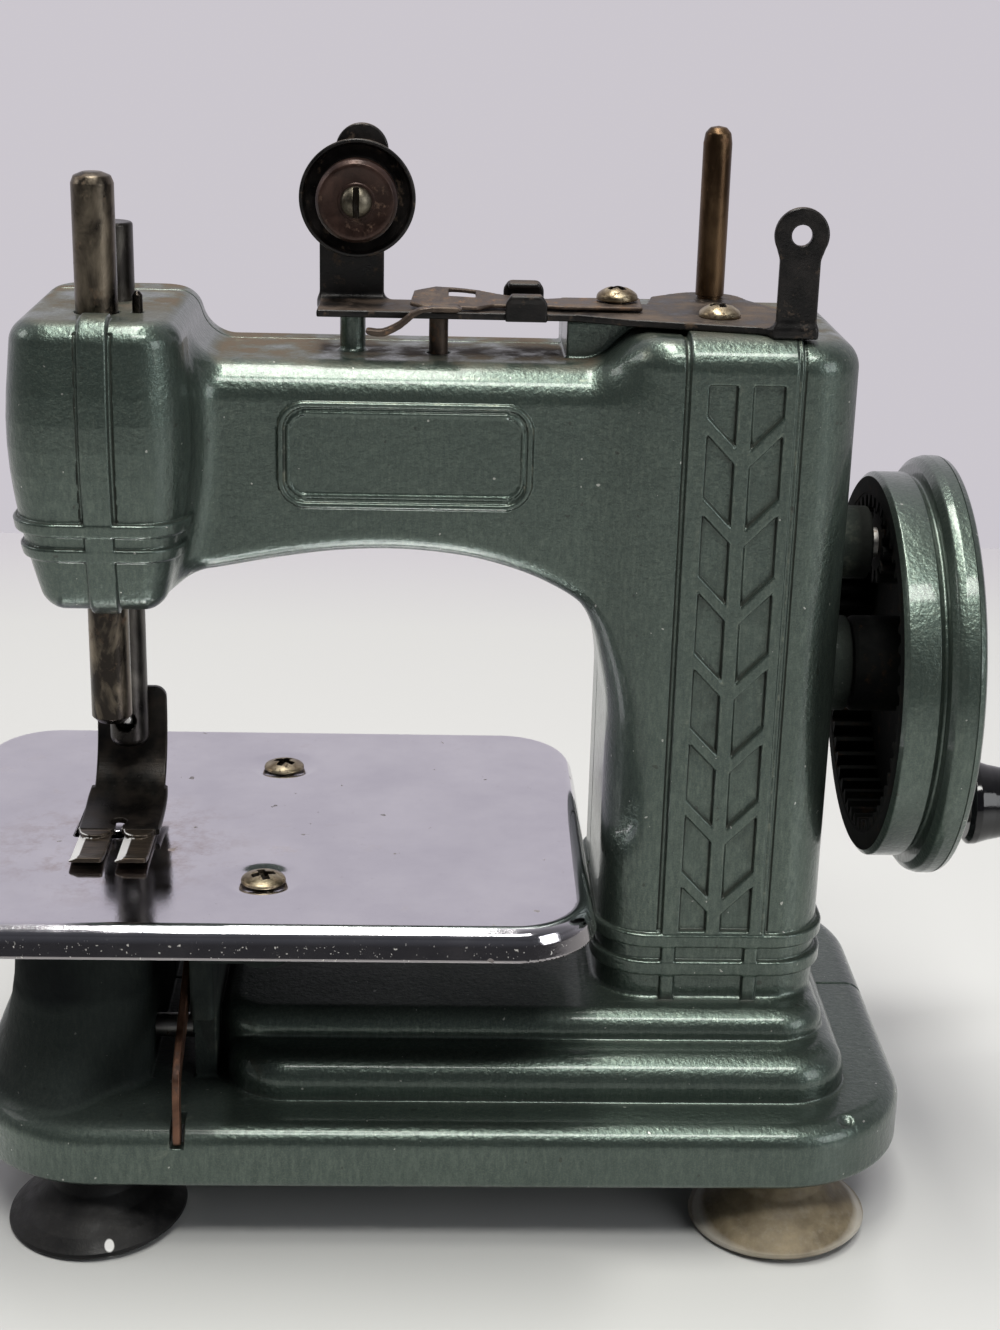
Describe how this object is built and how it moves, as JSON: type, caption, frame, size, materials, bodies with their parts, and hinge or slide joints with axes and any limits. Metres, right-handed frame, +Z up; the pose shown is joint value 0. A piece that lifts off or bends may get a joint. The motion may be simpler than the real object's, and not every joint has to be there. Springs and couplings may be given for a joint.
{
  "type": "toy sewing machine",
  "caption": "Hand-cranked toy sewing machine: cast body in hammered enamel, bright cloth plate, geared handwheel, rocking-beam needle drive and a thread bracket on top.",
  "frame": {"origin": "on the table, under the middle of the machine's bounding box", "axes": "+X along the arm from the needle head to the handwheel, +Y from front to back, +Z up"},
  "size_m": [0.189, 0.0984, 0.172],
  "materials": {
    "hammered_paint": "grey-green hammered metallic enamel, worn and dusty",
    "plate_chrome": "polished plating with specks of rust",
    "aged_nickel": "aged nickel with rust in the recess",
    "black_oxide": "black finish with brown dust",
    "brown_steel": "browned steel",
    "bronze": "dull bronze",
    "spring_steel": "spring wire",
    "dull_steel": "dull steel",
    "bar_nickel": "nickel worn to mottled brown",
    "brass": "plain brass",
    "copper_strip": "coppery strip, tarnished",
    "knob_plastic": "glossy black",
    "rubber_black": "black rubber",
    "rubber_brown": "brown aged rubber"
  },
  "bodies": {
    "root": {"front_casting": "hammered_paint", "rear_casting": "hammered_paint", "casing_screws": "dull_steel", "cloth_plate": "plate_chrome", "plate_screws": "aged_nickel", "thread_bracket": "black_oxide", "bracket_screws": "aged_nickel", "spool_pin": "bronze", "tension_disc_rear": "black_oxide", "tension_disc_front": "black_oxide", "tension_spring": "spring_steel", "head_pin": "dull_steel", "shaft_bush": "brass", "handwheel_axle": "dull_steel", "beam_pivot": "dull_steel", "lever_pin": "dull_steel", "foot_front_left": "rubber_black", "foot_front_right": "rubber_brown", "foot_rear_left": "rubber_black", "foot_rear_right": "rubber_brown"},
    "wheel": {"handwheel": "hammered_paint", "crank_pin": "dull_steel"},
    "knob": {"crank_knob": "knob_plastic"},
    "drive": {"drive_pinion": "brass", "drive_shaft": "dull_steel", "crank_disc": "dull_steel", "drive_crank_pin": "dull_steel"},
    "beam": {"rocker_beam": "dull_steel", "beam_stud": "dull_steel"},
    "needle": {"needle_bar": "bar_nickel", "needle_bar_collar": "dull_steel", "collar_screw": "dull_steel", "needle_clamp_screw": "aged_nickel"},
    "presser": {"presser_bar": "bar_nickel", "presser_collar": "dull_steel", "presser_spring": "spring_steel", "presser_foot": "black_oxide", "presser_foot_screw": "dull_steel"},
    "rod": {"link_rod": "dull_steel"},
    "looper_set": {"looper_shaft": "dull_steel", "looper_rocker": "dull_steel", "looper": "dull_steel"},
    "feed": {"feed_dog": "dull_steel"},
    "release": {"release_pin": "brown_steel"},
    "clamp": {"thread_clamp_spring": "brown_steel"},
    "tension": {"tension_cap": "brown_steel", "tension_screw": "dull_steel"},
    "lever": {"stitch_lever": "copper_strip"}
  },
  "joints": [
    {"name": "handwheel_spin", "type": "hinge", "parent": "root", "child": "wheel", "pos_m": [0.0635, 0.002, 0.0857], "axis": [1, 0, 0], "continuous": true},
    {"name": "drive_spin", "type": "hinge", "parent": "root", "child": "drive", "pos_m": [0.0495, 0.002, 0.1067], "axis": [1, 0, 0], "continuous": true},
    {"name": "knob_spin", "type": "hinge", "parent": "wheel", "child": "knob", "pos_m": [0.0845, 0.002, 0.0607], "axis": [1, 0, 0], "continuous": true},
    {"name": "beam_rock", "type": "hinge", "parent": "root", "child": "beam", "pos_m": [0.0045, -0.00025, 0.117], "axis": [0, -1, 0], "range_deg": [-8.68, 8.68]},
    {"name": "needle_slide", "type": "slide", "parent": "root", "child": "needle", "axis": [0, 0, -1], "range_m": [-0.0088, 0.0088]},
    {"name": "rod_slide", "type": "slide", "parent": "root", "child": "rod", "axis": [0, 0, 1], "range_m": [-0.0026, 0.0026]},
    {"name": "looper_rock", "type": "hinge", "parent": "root", "child": "looper_set", "pos_m": [-0.0255, -0.01725, 0.027], "axis": [1, 0, 0], "range_deg": [-13.53, 13.53]},
    {"name": "feed_slide", "type": "slide", "parent": "root", "child": "feed", "axis": [0, 1, 0], "range_m": [-0.00126, 0.00126]},
    {"name": "presser_lift", "type": "slide", "parent": "root", "child": "presser", "axis": [0, 0, 1], "range_m": [0, 0.006], "stiffness_N_per_m": 250, "springref_m": -0.006, "deforming": ["presser_spring"]},
    {"name": "tension_turn", "type": "hinge", "parent": "root", "child": "tension", "pos_m": [-0.0272, -0.00225, 0.1608], "axis": [0, -1, 0], "range_deg": [-360, 360]},
    {"name": "release_slide", "type": "slide", "parent": "root", "child": "release", "axis": [0, 0, 1], "range_m": [0, 0.0012], "stiffness_N_per_m": 600, "springref_m": -0.0005},
    {"name": "clamp_lift", "type": "hinge", "parent": "root", "child": "clamp", "pos_m": [0.0135, -0.00175, 0.14545], "axis": [0, 1, 0], "range_deg": [0, 2.6]},
    {"name": "lever_swing", "type": "hinge", "parent": "root", "child": "lever", "pos_m": [-0.0535, -0.01125, 0.044], "axis": [-1, 0, 0], "range_deg": [0, 10]}
  ],
  "couplings": [
    {"joint": "drive_spin", "follows": "handwheel_spin", "ratio": 4.5},
    {"joint": "needle_slide", "follows": "beam_rock", "m_per_rad": 0.057779},
    {"joint": "rod_slide", "follows": "beam_rock", "m_per_rad": 0.016935},
    {"joint": "looper_rock", "follows": "beam_rock", "ratio": 1.5539},
    {"joint": "feed_slide", "follows": "beam_rock", "m_per_rad": 0.0082541},
    {"joint": "clamp_lift", "follows": "release_slide", "rad_per_m": 35.84}
  ]
}
